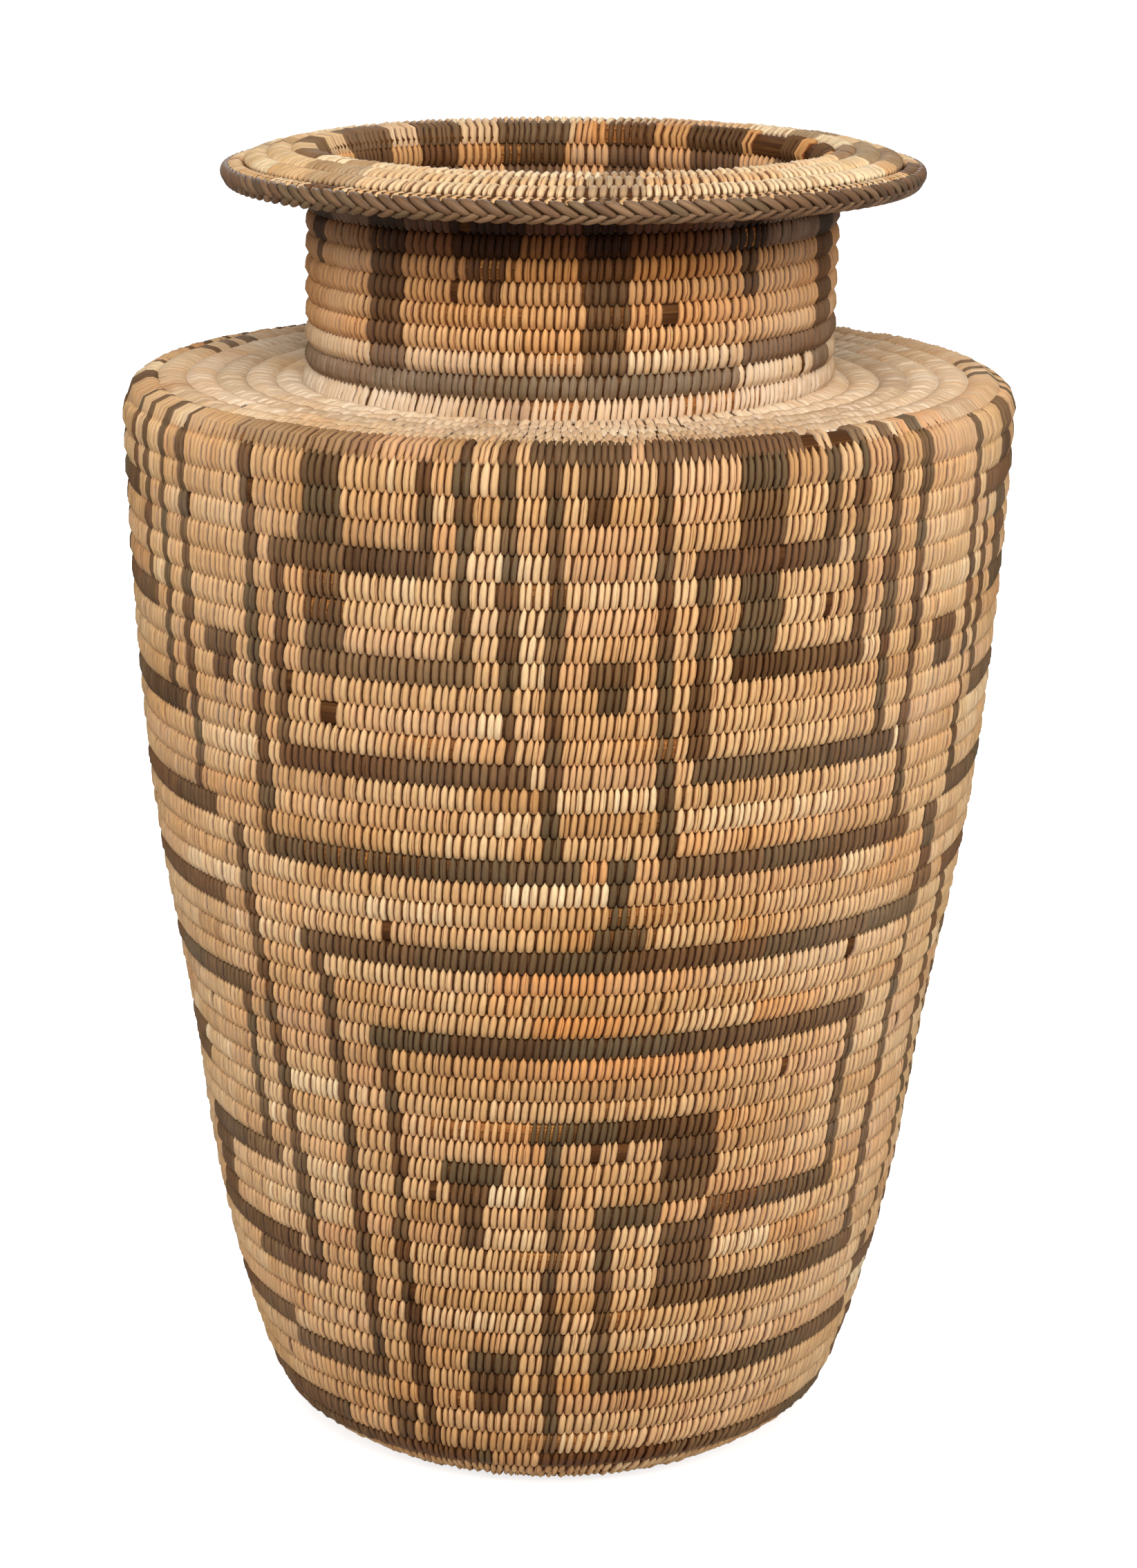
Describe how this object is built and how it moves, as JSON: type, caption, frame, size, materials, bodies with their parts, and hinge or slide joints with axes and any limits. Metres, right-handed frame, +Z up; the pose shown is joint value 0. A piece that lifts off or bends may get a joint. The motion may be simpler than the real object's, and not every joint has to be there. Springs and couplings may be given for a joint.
{
  "type": "coiled olla basket",
  "caption": "Coiled plant-fibre storage jar with a tall wall flaring to a round shoulder, a short straight neck and a drooping flanged rim edged with a laced herringbone braid.",
  "frame": {"origin": "on the surface that the jar stands on, at the centre of the jar's bounding box", "axes": "+Z up along the jar's axis, out of the mouth; -Y towards the side shown in the picture, +X to that side's right"},
  "size_m": [0.2676, 0.2676, 0.3999],
  "materials": {
    "start_knot": "matte",
    "base_coils": "matte",
    "foot_coil": "matte",
    "wall_coils": "satin",
    "shoulder_edge": "satin",
    "shoulder_coils": "matte",
    "neck_foot": "matte",
    "neck_coils": "matte",
    "flange_coils": "satin",
    "rim_braid": "satin"
  },
  "bodies": {
    "root": {"start_knot": "start_knot", "base_coils_inner": "base_coils", "base_coils_outer": "base_coils", "foot_coil": "foot_coil", "wall_coils_1": "wall_coils", "wall_coils_2": "wall_coils", "wall_coils_3": "wall_coils", "wall_coils_4": "wall_coils", "wall_coils_5": "wall_coils", "wall_coils_6": "wall_coils", "wall_coils_7": "wall_coils", "wall_coils_8": "wall_coils", "shoulder_edge_coil": "shoulder_edge", "shoulder_coils_outer": "shoulder_coils", "shoulder_coils_inner": "shoulder_coils", "neck_foot_coil": "neck_foot", "neck_coils_lower": "neck_coils", "neck_coils_upper": "neck_coils", "lip_coil": "flange_coils", "flange_coils": "flange_coils", "rim_coil": "flange_coils", "rim_braid": "rim_braid"}
  },
  "joints": []
}
